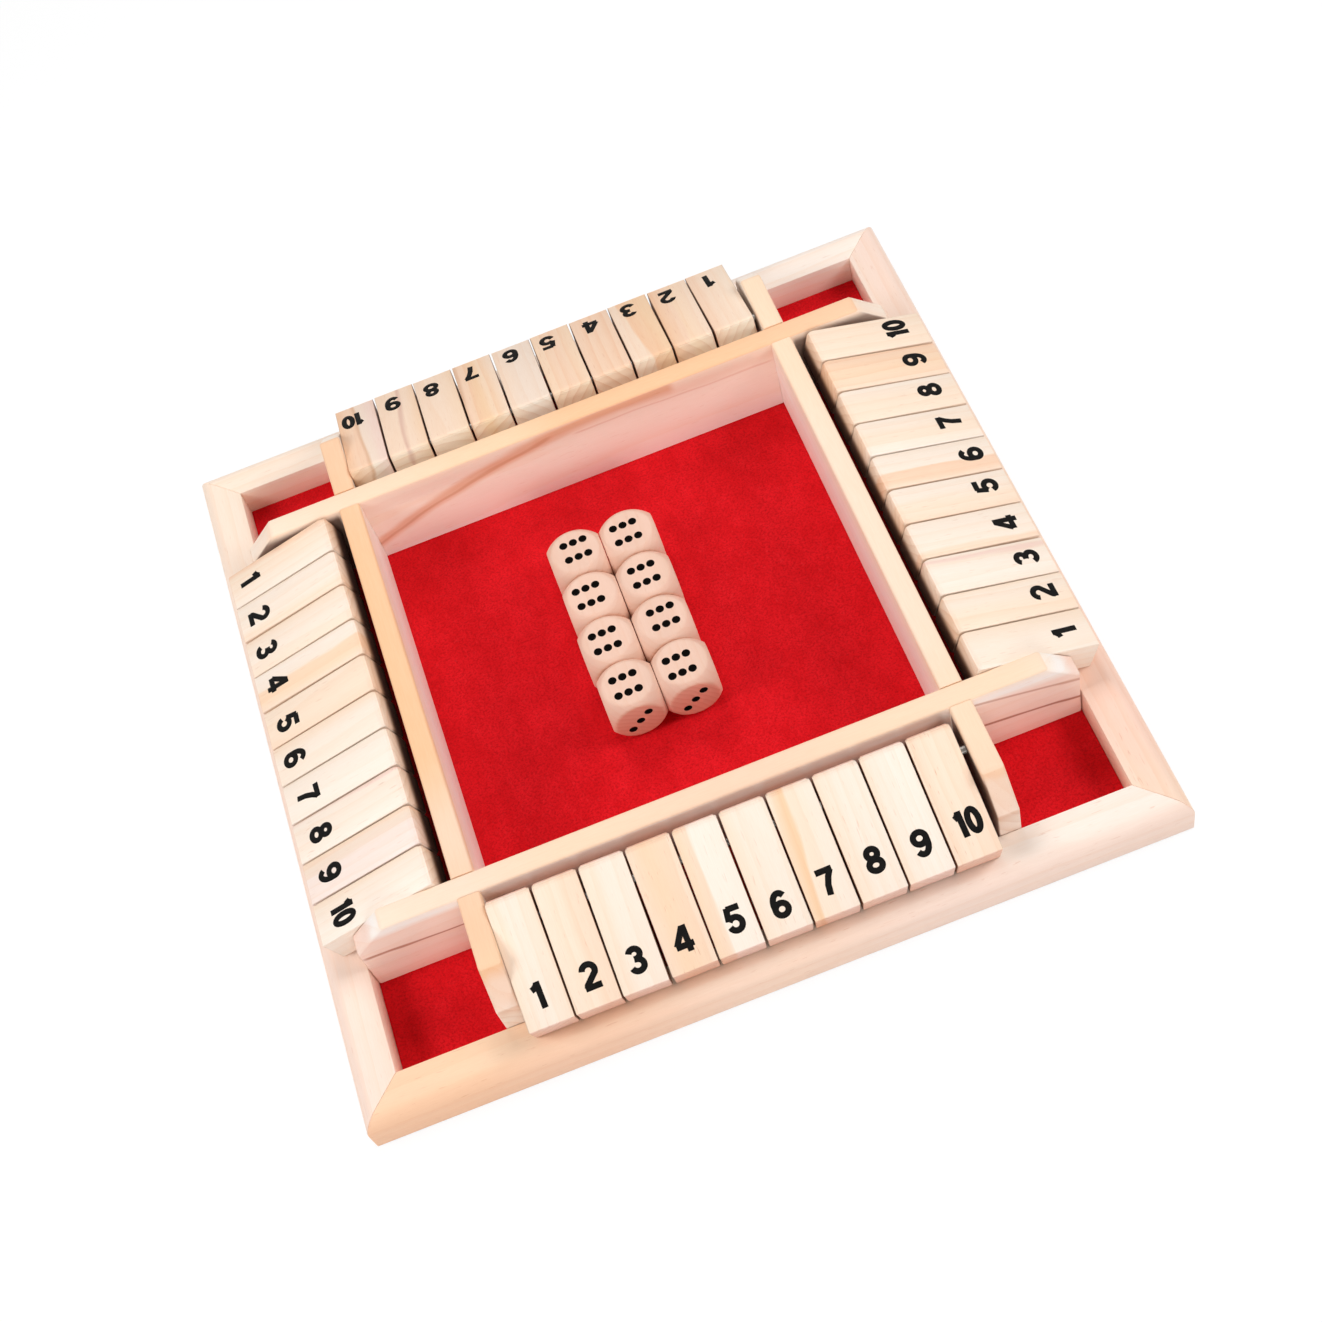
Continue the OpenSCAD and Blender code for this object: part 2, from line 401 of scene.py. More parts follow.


# end grain, darker, beyond two places along the grain; a hinge end also gets painted shade, darker towards
# the bottom of its end face and at its heel
def darkenEnds(tree, colour, look, part, rings):
    low, high = look["ends"]
    far = calc(tree, "ABSOLUTE", calc(tree, "SUBTRACT", part["Y"], (low + high) / 2 * mm))
    mask = nearFace(tree, far, (high - low) / 2, pineLook["endDepth"])
    colour = stain(tree, colour, mask, pineLook["endShare"], look.get("endTint", pineLook["endTint"]))
    colour = stain(tree, colour, calc(tree, "MULTIPLY", mask, rings), look.get("endRings", 0.2),
                   pineLook["endRingTint"])
    # painted shade on a hinge end: darker down its end face and at its heel, where the gap to the board lies
    # in shadow
    if "tailShade" in look:
        for place, amount, tone in (("tailShade", look["tailShade"], look["tailShadeTint"]),
                                    ("heel", look["black"], pineLook["heelShadeTint"])):
            top, bottom = pineLook[place + "Height"]
            mask = calc(tree, "MULTIPLY", spread(tree, part["Z"], top * mm, bottom * mm),
                        nearFace(tree, part["Y"], high, pineLook[place + "Depth"]))
            colour = stain(tree, colour, mask, amount, tone)
    return colour


# bands run along the grain, each at a share of the width that "wide" gives
def makePine(name, look):
    material, tree, skin = newMaterial(name)
    place = {"Vector": objectPlace(tree), "Location": Vector(look["at"]) * mm, "Rotation": look["turn"]}
    local = addNode(tree, "ShaderNodeMapping", place, vector_type="TEXTURE").outputs[0]
    seed = look["seed"]
    cut = {"Place": local, "Seed": seed, "Ring Width": look.get("ringWidth", 2.4),
           "Pith Across": 60 * math.sin(seed * 2.1), "Pith Deep": -30 - 25 * abs(math.cos(seed * 1.7)),
           "Waviness": look.get("wavy", 3.0)}
    grain = addNode(tree, "ShaderNodeGroup", cut, node_tree=pineGrain).outputs
    part = addNode(tree, "ShaderNodeSeparateXYZ", {0: local}).outputs
    drift = calc(tree, "MULTIPLY_ADD", grain["Cloud"], pineLook["drift"] * mm, -pineLook["drift"] / 2 * mm)
    shift = calc(tree, "MULTIPLY_ADD", part["Y"], look.get("lean", 0.0), drift)
    share = calc(tree, "MULTIPLY_ADD", calc(tree, "ADD", part["X"], shift), 1 / (look["wide"] * mm), 0.5)
    colour = toneRamp(tree, share, look["bands"])
    colour = stain(tree, colour, grain["Rings"], look.get("rings", 0.16), pineLook["ringTint"])
    colour = stain(tree, colour, grain["Fibre"], look.get("fibre", 0.18), pineLook["fibreTint"])
    colour = stain(tree, colour, grain["Pores"], look.get("pores", 0.2), pineLook["poreTint"])
    top = nearFace(tree, part["X"], look["wide"] / 2, pineLook["topDepth"])
    if "along" in look:  # tones from one end to the other, over the whole piece or on its top only
        share = calc(tree, "MULTIPLY_ADD", part["Y"], 1 / (look["long"] * mm), 0.5)
        run = toneRamp(tree, share, look["along"])
        if look.get("topOnly"):
            bare = stain(tree, run, grain["Fibre"], pineLook["bareFibre"], pineLook["fibreTint"])
            colour = blend(tree, "MIX", top, colour, bare)
        else:
            colour = blend(tree, "MULTIPLY", 1.0, colour, run)
    colour = drawStreaks(tree, colour, look, part, drift, top)
    # painted shade on the board ends beside the flaps
    if "cheekShade" in look:
        colour = paintCheekShade(tree, colour, look, part)
    # painted shade on the flap sides that face the next flap
    if "sides" in look:
        colour = paintSideShade(tree, colour, look, part)
    if "ends" in look:
        colour = darkenEnds(tree, colour, look, part, grain["Rings"])
    roughness = spread(tree, grain["Fibre"], 0.0, 1.0, *pineLook["rough"])
    finishSkin(tree, skin, colour, roughness, pineLook["specular"],
               (grain["Height"], pineLook["relief"], pineLook["reliefDepth"]))
    return material


feltLook = {"deep": "d60f19", "bright": "e61823", "shade": "a0080f", "shadeShare": 0.6, "lint": "ee3a42",
            "lintShare": 0.2, "lintHeight": 0.8, "sheen": 0.12, "sheenTint": (1.0, 0.25, 0.25, 1.0)}


def makeFelt(name):
    material, tree, skin = newMaterial(name)
    spot = objectPlace(tree)
    fluff = speckle(tree, spot, 1500.0, 4.0, 0.75)["Fac"]
    lint = speckle(tree, spot, (900.0, 620.0, 900.0), 3.0, 0.65)["Fac"]
    nap = speckle(tree, spot, (130.0, 90.0, 130.0), 4.0, 0.7)["Fac"]
    colour = blend(tree, "MIX", spread(tree, nap, 0.3, 0.72), tint(feltLook["deep"]),
                   tint(feltLook["bright"]))
    for mask, kind in ((spread(tree, fluff, 0.42, 0.68), "shade"), (spread(tree, lint, 0.58, 0.76), "lint")):
        colour = stain(tree, colour, mask, feltLook[kind + "Share"], feltLook[kind], "MIX")
    height = calc(tree, "ADD", fluff, calc(tree, "MULTIPLY", lint, feltLook["lintHeight"]))
    finishSkin(tree, skin, colour, spread(tree, fluff, 0.2, 0.8, 0.85, 1.0), 0.1, (height, 0.5, 0.12))
    skin.inputs["Sheen Weight"].default_value = feltLook["sheen"]
    skin.inputs["Sheen Roughness"].default_value = 0.5
    skin.inputs["Sheen Tint"].default_value = feltLook["sheenTint"]
    return material


inkLook = {"black": "0a0908", "worn": "2c2521", "wornShare": 0.6, "thin": "242120", "thinShare": 0.35}


def makeInk(name):
    material, tree, skin = newMaterial(name)
    spot = objectPlace(tree)
    worn = speckle(tree, spot, 2300.0, 3.0, 0.7)["Fac"]
    cover = speckle(tree, spot, 420.0, 2.0)["Fac"]
    colour = stain(tree, tint(inkLook["black"]), spread(tree, worn, 0.58, 0.75), inkLook["wornShare"],
                   inkLook["worn"], "MIX")
    colour = stain(tree, colour, spread(tree, cover, 0.5, 0.8), inkLook["thinShare"], inkLook["thin"], "MIX")
    finishSkin(tree, skin, colour, spread(tree, worn, 0.3, 0.7, 0.7, 0.9), 0.12, (worn, 0.3, 0.02))
    return material


def makeWire(name):
    material, tree, skin = newMaterial(name)
    spot = objectPlace(tree)
    fine = speckle(tree, spot, 3000.0, 3.0)["Fac"]
    dull = speckle(tree, spot, 160.0, 3.0)["Fac"]
    colour = blend(tree, "MIX", spread(tree, dull, 0.4, 0.7), tint("a5a29d"), tint("77726b"))
    finishSkin(tree, skin, colour, spread(tree, dull, 0.3, 0.7, 0.32, 0.5), relief=(fine, 0.15, 0.01))
    skin.inputs["Metallic"].default_value = 1.0
    return material


def makeHardboard(name):
    material, tree, skin = newMaterial(name)
    spot = objectPlace(tree)
    chips = speckle(tree, spot, (700.0, 420.0, 700.0), 4.0, 0.7)["Fac"]
    haze = speckle(tree, spot, 40.0, 2.0)["Fac"]
    colour = blend(tree, "MIX", spread(tree, chips, 0.35, 0.7), tint("7d5a3c"), tint("a57f5a"))
    colour = blend(tree, "MULTIPLY", spread(tree, haze, 0.4, 0.8, 0.0, 0.4), colour, tint("c9b49c"))
    finishSkin(tree, skin, colour, spread(tree, chips, 0.3, 0.7, 0.6, 0.8), relief=(chips, 0.3, 0.05))
    return material


def makePipPaint(name):
    material, tree, skin = newMaterial(name)
    rough = speckle(tree, objectPlace(tree), 2200.0, 3.0)["Fac"]
    colour = blend(tree, "MIX", spread(tree, rough, 0.4, 0.75), tint("050403"), tint("120c0a"))
    finishSkin(tree, skin, colour, spread(tree, rough, 0.3, 0.7, 0.75, 0.95), 0.06)
    return material

ink = makeInk("printed_ink")
pipPaint = makePipPaint("pip_paint")
print("materials ready")

# rails

railLooks = [
    {"bands": [(0.0, "shell"), (0.5, "chalk"), (1.0, "chalk")], "seed": 1.3, "pores": 0.3, "rings": 0.16,
     "along": [(0.0, "milk"), (0.28, "milk"), (0.5, "cream"), (0.75, "sand"), (0.88, "straw"),
               (1.0, "straw")]},
    {"bands": [(0.0, "milk"), (0.5, "milk"), (1.0, "chalk")], "seed": 2.6, "pores": 0.3, "rings": 0.2,
     "along": [(0.0, "shell"), (0.5, "linen"), (0.85, "blush"), (1.0, "linen")]},
    {"bands": [(0.0, "milk"), (0.6, "chalk"), (1.0, "chalk")], "seed": 3.9, "pores": 0.2, "rings": 0.2,
     "along": [(0.0, "cream"), (0.5, "milk"), (1.0, "milk")]},
    {"bands": [(0.0, "milk"), (0.5, "chalk"), (1.0, "chalk")], "seed": 5.1, "pores": 0.2, "rings": 0.16,
     "along": [(0.0, "shell"), (0.5, "shell"), (1.0, "cream")]},
]


def modelRail():
    rail = addBox("rail_pattern", (-halfBoard, -halfBoard, 0), (halfBoard, -railIn, board["railHeight"]))
    roundEdges(rail, lambda p: p.y < -halfBoard + atFace and p.z > board["railHeight"] - atFace,
               board["railRound"], 9)
    for way in (-1, 1):
        trim(rail, (way * halfBoard, -halfBoard, 0), (way, 1, 0))
    rabbet = addBox("rabbet", (-halfBoard, -railIn - board["rabbet"], -overcut),
                    (halfBoard, -railIn + overcut, board["panel"]))
    cutAway(rail, [rabbet])
    easeEdges(rail, board["railEase"], 2, 38)
    return rail


railPattern = modelRail()
railMiddle = Vector((0, -halfBoard + board["railWidth"] / 2, 6))  # where its grain is measured from
for i, side in enumerate(sides):
    rail = copyPiece(railPattern, side + "_rail_wood", onSide(i))
    shade(rail, 25)
    look = dict(railLooks[i], wide=board["railWidth"], long=board["width"], ringWidth=3.1,
                at=onSide(i) @ railMiddle, turn=Euler((0, 0, math.radians(90 * i + 90))))
    dress(rail, makePine(side + "_rail_pine", look))
    settle(rail, "board", side + "_rail")
bpy.data.objects.remove(railPattern)
print("rails done")

# inner boards

# a streak is a grain line, in mm: its height at mid-board, its thickness and its span along the board;
# slope and bow bend it
# each board also gets painted shade on the inner sides of its two ends beside the flaps, one amount for its
# low end and one for its high end
wallLooks = [
    {"bands": [(0.0, "blush"), (0.5, "blush"), (0.78, "blush"), (0.9, "milk"), (1.0, "cream")],
         "seed": 11.2,
     "cheekShade": (0.3, 0.3), "lean": 0.01,
     "along": [(0.0, "vanilla"), (0.15, "sand"), (0.3, "straw"), (0.55, "peach"), (0.75, "straw"),
               (0.9, "straw"), (1.0, "sand")],
     "streaks": [
         {"at": -2.3, "slope": -0.04, "thick": 0.6, "span": (-100, -62), "amount": 0.8, "tint": "b87f66"},
         {"at": 25.0, "slope": -0.22, "thick": 0.8, "span": (62, 102), "amount": 0.6, "tint": "c08a72"},
         {"at": 8.7, "slope": -0.14, "thick": 0.8, "span": (62, 102), "amount": 0.85, "tint": "b07860"}]},
    {"bands": [(0.0, "milk"), (0.5, "milk"), (0.93, "ivory"), (1.0, "straw")], "seed": 12.5,
     "cheekShade": (0.85, 0.3), "lean": -0.01,
     "along": [(0.0, "peach"), (0.12, "straw"), (0.3, "sand"), (0.6, "sand"), (0.8, "straw"), (1.0, "straw")],
     "streaks": [
         {"at": 9.0, "slope": 0.0, "thick": 9.0, "span": (-104, -86), "amount": 0.8, "tint": "f3dccf"}]},
    {"bands": [(0.0, "milk"), (0.3, "cream"), (0.6, "ivory"), (0.9, "linen"), (1.0, "sand")], "seed": 13.4,
     "cheekShade": (0.7, 0.8),
     "along": [(0.0, "apricot"), (0.3, "honey"), (0.48, "honey"), (0.6, "wheat"), (0.8, "straw"),
               (1.0, "vanilla")],
     "streaks": [
         {"at": 11.4, "slope": -0.107, "bow": -0.00287, "thick": 3.5, "span": (-34, 75), "amount": 0.7,
          "tint": "e8bb9c"},
         {"at": 10.8, "slope": -0.107, "bow": -0.00287, "thick": 0.9, "span": (4, 72), "amount": 0.3,
          "tint": "cf9474"},
         {"at": 11.0, "slope": 0.02, "thick": 3.4, "span": (-66, 12), "amount": 0.18, "tint": "f3c9a2"},
         {"at": 8.2, "slope": 0.02, "thick": 0.5, "span": (-64, 0), "amount": 0.3, "tint": "d9a080"}]},
    {"bands": [(0.0, "chalk"), (0.5, "chalk"), (0.9, "ivory"), (1.0, "wheat")], "seed": 14.1,
     "cheekShade": (0.7, 0.3), "lean": 0.01,
     "along": [(0.0, "apricot"), (0.3, "honey"), (0.62, "honey"), (0.76, "peach"), (0.9, "apricot"),
               (1.0, "wheat")],
     "streaks": [
         {"at": 9.0, "slope": 0.0, "thick": 9.0, "span": (86, 104), "amount": 0.5, "tint": "f0c3a6"}]},
]
wallMiddle = (feltTop + inner["top"]) / 2


def modelWall(fromBelow):
    wall = addBox("wall_pattern", (-wallEnd, -wallOut, feltTop), (wallEnd, -wallIn, inner["top"]))
    for way in (-1, 1):
        trim(wall, (way * (wallEnd - inner["slopeRun"]), 0, inner["top"]),
             (way * inner["slopeDrop"], 0, inner["slopeRun"]))
    easeEdges(wall, inner["ease"], 3, 35)
    half = inner["thick"] / 2 + inner["lapGap"]
    if fromBelow:
        low, high = feltTop - overcut, wallMiddle + inner["lapGap"]
    else:
        low, high = wallMiddle - inner["lapGap"], inner["top"] + overcut
    cuts = []
    for way in (-1, 1):
        cuts.append(addBox("slot", (way * wallMid - half, -wallOut - overcut, low),
                           (way * wallMid + half, -wallIn + overcut, high)))
        cuts.append(addRod("hole", rods["radius"] + rods["seatGap"], (way * rodR, -wallIn + overcut, rodZ),
                           (way * rodR, -wallIn - rods["bite"], rodZ)))
    cutAway(wall, cuts)
    return wall


wallPatterns = [modelWall(True), modelWall(False)]
upright = Matrix(((0, 1, 0), (0, 0, 1), (1, 0, 0))).to_4x4()  # local x up, local y along the board
for i, side in enumerate(sides):
    wall = copyPiece(wallPatterns[i % 2], side + "_wall_wood", onSide(i))
    if side == "front":  # its right end stands a little off the rail
        trim(wall, (wallEnd - inner["endShort"], 0, 0), (1, 0, 0))
    shade(wall, 30)
    look = dict(wallLooks[i], wide=inner["top"] - feltTop, long=2 * wallEnd, ends=(-wallEnd, wallEnd),
                at=onSide(i) @ Vector((0, -wallMid, wallMiddle)), turn=(onSide(i) @ upright).to_euler(),
                ringWidth=3.6, wavy=5.0, topOnly=True)
    dress(wall, makePine(side + "_wall_pine", look))
    settle(wall, "board", side + "_wall")
for pattern in wallPatterns:
    bpy.data.objects.remove(pattern)
print("inner boards done")

# felt, panel and rods

felt = {"side": 2 * (railIn - board["endGap"]), "cells": 48}


def modelFelt():
    clearSelection()
    bpy.ops.mesh.primitive_grid_add(x_subdivisions=felt["cells"], y_subdivisions=felt["cells"],
                                    size=felt["side"] * mm, location=(0, 0, feltTop * mm))
    sheet = bpy.context.object
    sheet.name = "red_felt"
    applyPlace(sheet)
    solid = sheet.modifiers.new("cloth", "SOLIDIFY")
    solid.thickness = board["felt"] * mm
    solid.offset = -1
    bpy.ops.object.modifier_apply(modifier="cloth")
    return sheet


feltSheet = modelFelt()
shade(feltSheet)
dress(feltSheet, makeFelt("red_felt_cloth"))
settle(feltSheet, "board", "felt_lining")

dress(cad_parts["base_panel"], makeHardboard("panel_hardboard"))
dress(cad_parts["pivot_rods"], makeWire("rod_wire"))
print("felt, panel and rods done")

# flaps

# bands across each flap from its left to its right as its number reads
flapLooks = {
    "front": [
        {"bands": [(0.0, "vanilla"), (0.5, "ivory"), (1.0, "vanilla")]},
        {"bands": [(0.0, "vanilla"), (0.45, "vanilla"), (0.7, "sand"), (1.0, "sand")]},
        {"bands": [(0.0, "vanilla"), (0.5, "ivory"), (1.0, "ivory")], "pores": 0.15},
        {"bands": [(0.0, "sand"), (0.4, "straw"), (1.0, "sand")], "pores": 0.45, "rings": 0.22},
        {"bands": [(0.0, "straw"), (0.28, "sand"), (0.36, "cream"), (1.0, "cream")],
         "lean": 0.02, "rings": 0.1},
        {"bands": [(0.0, "vanilla"), (0.5, "ivory"), (1.0, "ivory")]},
        {"bands": [(0.0, "vanilla"), (0.14, "straw"), (0.34, "wheat"), (0.42, "vanilla"), (1.0, "ivory")],
         "lean": -0.06},
        {"bands": [(0.0, "vanilla"), (0.5, "ivory"), (1.0, "ivory")], "pores": 0.25},
        {"bands": [(0.0, "vanilla"), (0.3, "ivory"), (0.6, "cream"), (1.0, "cream")], "rings": 0.12},
        {"bands": [(0.0, "sand"), (0.4, "vanilla"), (1.0, "sand")], "pores": 0.5, "rings": 0.2},
    ],
    "right": [
        {"bands": [(0.0, "ivory"), (0.5, "ivory"), (1.0, "vanilla")]},
        {"bands": [(0.0, "vanilla"), (0.25, "vanilla"), (0.4, "vanilla"), (0.8, "ivory"), (1.0, "vanilla")],
         "rings": 0.25},
        {"bands": [(0.0, "ivory"), (0.5, "cream"), (0.8, "ivory"), (0.92, "blush"), (1.0, "ivory")],
         "lean": -0.03},
        {"bands": [(0.0, "sand"), (0.14, "sand"), (0.22, "ivory"), (1.0, "ivory")]},
        {"bands": [(0.0, "sand"), (0.4, "vanilla"), (0.7, "ivory"), (1.0, "ivory")]},
        {"bands": [(0.0, "sand"), (0.2, "peach"), (0.42, "peach"), (0.5, "ivory"), (1.0, "ivory")]},
        {"bands": [(0.0, "cream"), (0.45, "vanilla"), (1.0, "ivory")]},
        {"bands": [(0.0, "vanilla"), (0.5, "vanilla"), (1.0, "ivory")]},
        {"bands": [(0.0, "sand"), (0.5, "straw"), (1.0, "peach")], "rings": 0.3},
        {"bands": [(0.0, "vanilla"), (0.5, "vanilla"), (1.0, "vanilla")]},
    ],
    "back": [
        {"bands": [(0.0, "vanilla"), (0.6, "sand"), (1.0, "peach")]},
        {"bands": [(0.0, "sand"), (0.5, "straw"), (0.62, "peach"), (1.0, "apricot")]},
        {"bands": [(0.0, "wheat"), (0.5, "apricot"), (0.58, "sand"), (1.0, "sand")], "lean": 0.12},
        {"bands": [(0.0, "peach"), (0.5, "peach"), (1.0, "peach")], "rings": 0.35},
        {"bands": [(0.0, "straw"), (0.5, "peach"), (1.0, "straw")], "rings": 0.3},
        {"bands": [(0.0, "linen"), (0.5, "linen"), (1.0, "sand")]},
        {"bands": [(0.0, "sand"), (0.35, "straw"), (0.5, "wheat"), (0.9, "peach"), (1.0, "tea")],
         "rings": 0.35},
        {"bands": [(0.0, "straw"), (0.5, "sand"), (1.0, "sand")]},
        {"bands": [(0.0, "straw"), (0.4, "sand"), (0.52, "biscuit"), (0.6, "sand"), (1.0, "sand")],
         "lean": -0.03, "rings": 0.25},
        {"bands": [(0.0, "blush"), (0.42, "linen"), (0.5, "tea"), (0.58, "peach"), (1.0, "apricot")],
         "lean": 0.02},
    ],
    "left": [
        {"bands": [(0.0, "peach"), (0.2, "vanilla"), (1.0, "ivory")]},
        {"bands": [(0.0, "ivory"), (0.6, "ivory"), (0.88, "vanilla"), (1.0, "sand")]},
        {"bands": [(0.0, "vanilla"), (0.5, "ivory"), (1.0, "vanilla")], "pores": 0.3},
        {"bands": [(0.0, "cream"), (0.38, "ivory"), (0.46, "straw"), (0.75, "straw"), (1.0, "sand")]},
        {"bands": [(0.0, "vanilla"), (0.5, "vanilla"), (1.0, "sand")]},
        {"bands": [(0.0, "vanilla"), (0.4, "ivory"), (0.8, "ivory"), (1.0, "ivory")]},
        {"bands": [(0.0, "ivory"), (0.5, "cream"), (1.0, "cream")], "rings": 0.1},
        {"bands": [(0.0, "blush"), (0.1, "ivory"), (0.4, "ivory"), (1.0, "cream")], "pores": 0.3},
        {"bands": [(0.0, "sand"), (0.2, "linen"), (0.45, "shell"), (1.0, "shell")]},
        {"bands": [(0.0, "vanilla"), (0.3, "ivory"), (0.7, "cream"), (1.0, "cream")], "rings": 0.12},
    ],
}


def modelFlap():
    wide, thick = flap["wide"] / 2, flap["thick"] / 2
    piece = addBox("flap_pattern", (-wide, -flapReach, -thick), (wide, flap["tail"], thick))
    tail = flap["tail"]
    square = tail - flap["bevel"]  # the hinge end is square up to here
    roundEdges(piece, lambda p: p.y > tail - atFace and p.z > thick - atFace, flap["bevel"], 3)
    roundEdges(piece, lambda p: p.y > tail - atFace and p.z < -thick + atFace, flap["heel"], 2)
    roundEdges(piece, lambda p: p.y > square - atFace and abs(p.x) > wide - atFace, flap["corner"], 3)
    roundEdges(piece, lambda p: p.y < atFace - flapReach and abs(p.x) > wide - atFace, flap["tipCorner"], 2)
    cutAway(piece, [addRod("bore", flap["boreRadius"], (-wide - overcut, 0, 0), (wide + overcut, 0, 0), 40)])
    easeEdges(piece, flap["ease"], 2, 32)
    return piece


# degrees that each flap leans on its rod, seen from above
flapLean = [[0.1, -0.1, -0.35, 0.3, 0.05, 0.0, -0.1, 0.05, -0.05, -0.1],
            [0.1, 0.0, -0.2, 0.15, 0.1, -0.1, 0.0, 0.1, -0.15, 0.05],
            [0.25, -0.3, 0.1, 0.0, 0.15, -0.1, 0.05, 0.2, -0.15, 0.0],
            [0.0, -0.15, 0.15, -0.1, 0.1, 0.0, -0.2, 0.15, -0.1, 0.1]]
# degrees that each one's number end stands higher
flapLift = [[0.0, 0.1, 0.0, 0.15, 0.05, 0.0, 0.1, 0.0, 0.1, 0.05],
            [0.1, 0.3, 0.0, 0.35, 0.1, 0.4, 0.0, 0.25, 0.05, 0.3],
            [0.2, 0.0, 0.35, 0.1, 0.3, 0.0, 0.25, 0.1, 0.4, 0.15],
            [0.0, 0.3, 0.05, 0.35, 0.0, 0.25, 0.1, 0.35, 0.0, 0.2]]


def flapPlace(side, number):
    pitch = flap["pitch"][side]
    room = inner["tray"] - (flap["count"] - 1) * pitch - flap["wide"]
    x = (number - (flap["count"] + 1) / 2) * pitch + flap["slide"][side] * room / 2
    lean = math.radians(flapLean[side][number - 1])
    tilt = flapTilt - math.radians(flapLift[side][number - 1])
    return (onSide(side) @ Matrix.Translation(Vector((x, -rodR, rodZ)) * mm) @ Matrix.Rotation(tilt, 4, "X")
            @ Matrix.Rotation(lean, 4, "Z"))


# painted shade for each row: how dark its hinge ends are painted, down the end face and at the heel, with the
# tint of its end grain, and how dark its flap sides are painted, those that the gaps show and those that they
# hide
rowLooks = [{"tailShade": 0.0, "tailShadeTint": "80563f", "black": 0.0, "endTint": "e8c8c4", "edges": (1.0, 0.3)},
            {"tailShade": 0.95, "tailShadeTint": "80563f", "black": 0.85, "endTint": "f3e3d8", "edges": (0.25, 0.1)},
            {"tailShade": 0.16, "tailShadeTint": "8f7f74", "black": 0.0, "endTint": "f2fdff", "edges": (0.85, 0.3)},
            {"tailShade": 1.0, "tailShadeTint": "80563f", "black": 0.9, "endTint": "f3e3d8", "edges": (0.22, 0.1)}]
flapPattern = modelFlap()
for i, side in enumerate(sides):
    for number in range(1, flap["count"] + 1):
        name = f"{side}_flap_{number}"
        place = flapPlace(i, number)
        piece = copyPiece(flapPattern, name + "_wood", place)
        shade(piece, 30)
        seed = 20 + 13 * i + number * 1.37
        # each row's painted shade on its flap sides, for the sides the gaps show and for those they hide
        shown, hidden = rowLooks[i]["edges"]
        # the gaps show the sides that are turned to the camera, for each row and flap its own; those sides
        # get the stronger painted shade
        lowShown = (number > 5, number > 1, number > 5, False)[i]
        highShown = (number < 6, False, number < 6, number < 10)[i]
        look = dict(flapLooks[side][number - 1], **rowLooks[i], wide=flap["wide"], at=place.translation / mm,
                    turn=place.to_euler(), seed=seed, ends=(-flapReach, flap["tail"]),
                    sides=(shown if lowShown else hidden, shown if highShown else hidden))
        dress(piece, makePine(name + "_pine", look))
        settle(piece, name, name)
bpy.data.objects.remove(flapPattern)
print("flaps done")

# numbers

numberStyle = {"height": 6.9, "stroke": 0.232, "ink": 0.03, "sunk": 0.03, "tenSqueeze": 0.76, "tenGap": 0.45}


def arc(cx, cy, rx, ry, start, end, steps=18):
    turns = [math.radians(start + (end - start) * k / steps) for k in range(steps + 1)]
    return [(cx + rx * math.cos(a), cy + ry * math.sin(a)) for a in turns]


# centre lines in shares of the height, one list for each stroke
strokes = {
    1: [[(0.36, 0.0), (0.36, 1.0)], [(0.10, 0.745), (0.20, 0.775), (0.30, 0.86), (0.36, 0.94)]],
    2: [arc(0.35, 0.68, 0.235, 0.232, 172, -28) + [(0.16, 0.19), (0.12, 0.09)],
        [(0.04, 0.085), (0.67, 0.085)]],
    3: [arc(0.335, 0.72, 0.205, 0.19, 165, -75) + [(0.28, 0.53)],
        [(0.28, 0.53)] + arc(0.345, 0.30, 0.235, 0.215, 80, -165)],
    4: [[(0.50, 0.0), (0.50, 1.0)], [(0.02, 0.265), (0.70, 0.265)], [(0.06, 0.30), (0.47, 0.95)]],
    5: [[(0.17, 0.915), (0.64, 0.915)], [(0.185, 0.97), (0.125, 0.47)],
        arc(0.345, 0.33, 0.24, 0.245, 150, -165)],
    6: [arc(0.355, 0.315, 0.235, 0.225, 0, 360, 30),
        arc(0.375, 0.50, 0.255, 0.41, 42, 182, 22) + [(0.12, 0.32)]],
    7: [[(0.04, 0.91), (0.67, 0.91)], [(0.60, 0.90), (0.45, 0.66), (0.34, 0.38), (0.285, 0.0)]],
    8: [arc(0.355, 0.725, 0.195, 0.185, 0, 360, 30), arc(0.355, 0.295, 0.24, 0.205, 0, 360, 30)],
    0: [arc(0.355, 0.5, 0.245, 0.41, 0, 360, 34)],
}
strokes[9] = [[(0.71 - x, 1 - y) for x, y in line] for line in strokes[6]]


def addLine(name, points, closed):
    curve = bpy.data.curves.new(name, "CURVE")
    curve.dimensions = "2D"
    curve.fill_mode = "NONE"
    spline = curve.splines.new("POLY")
    spline.points.add(len(points) - 1)
    for point, (x, y) in zip(spline.points, points):
        point.co = (x, y, 0, 1)
    spline.use_cyclic_u = closed
    line = bpy.data.objects.new(name, curve)
    bpy.context.scene.collection.objects.link(line)
    return line


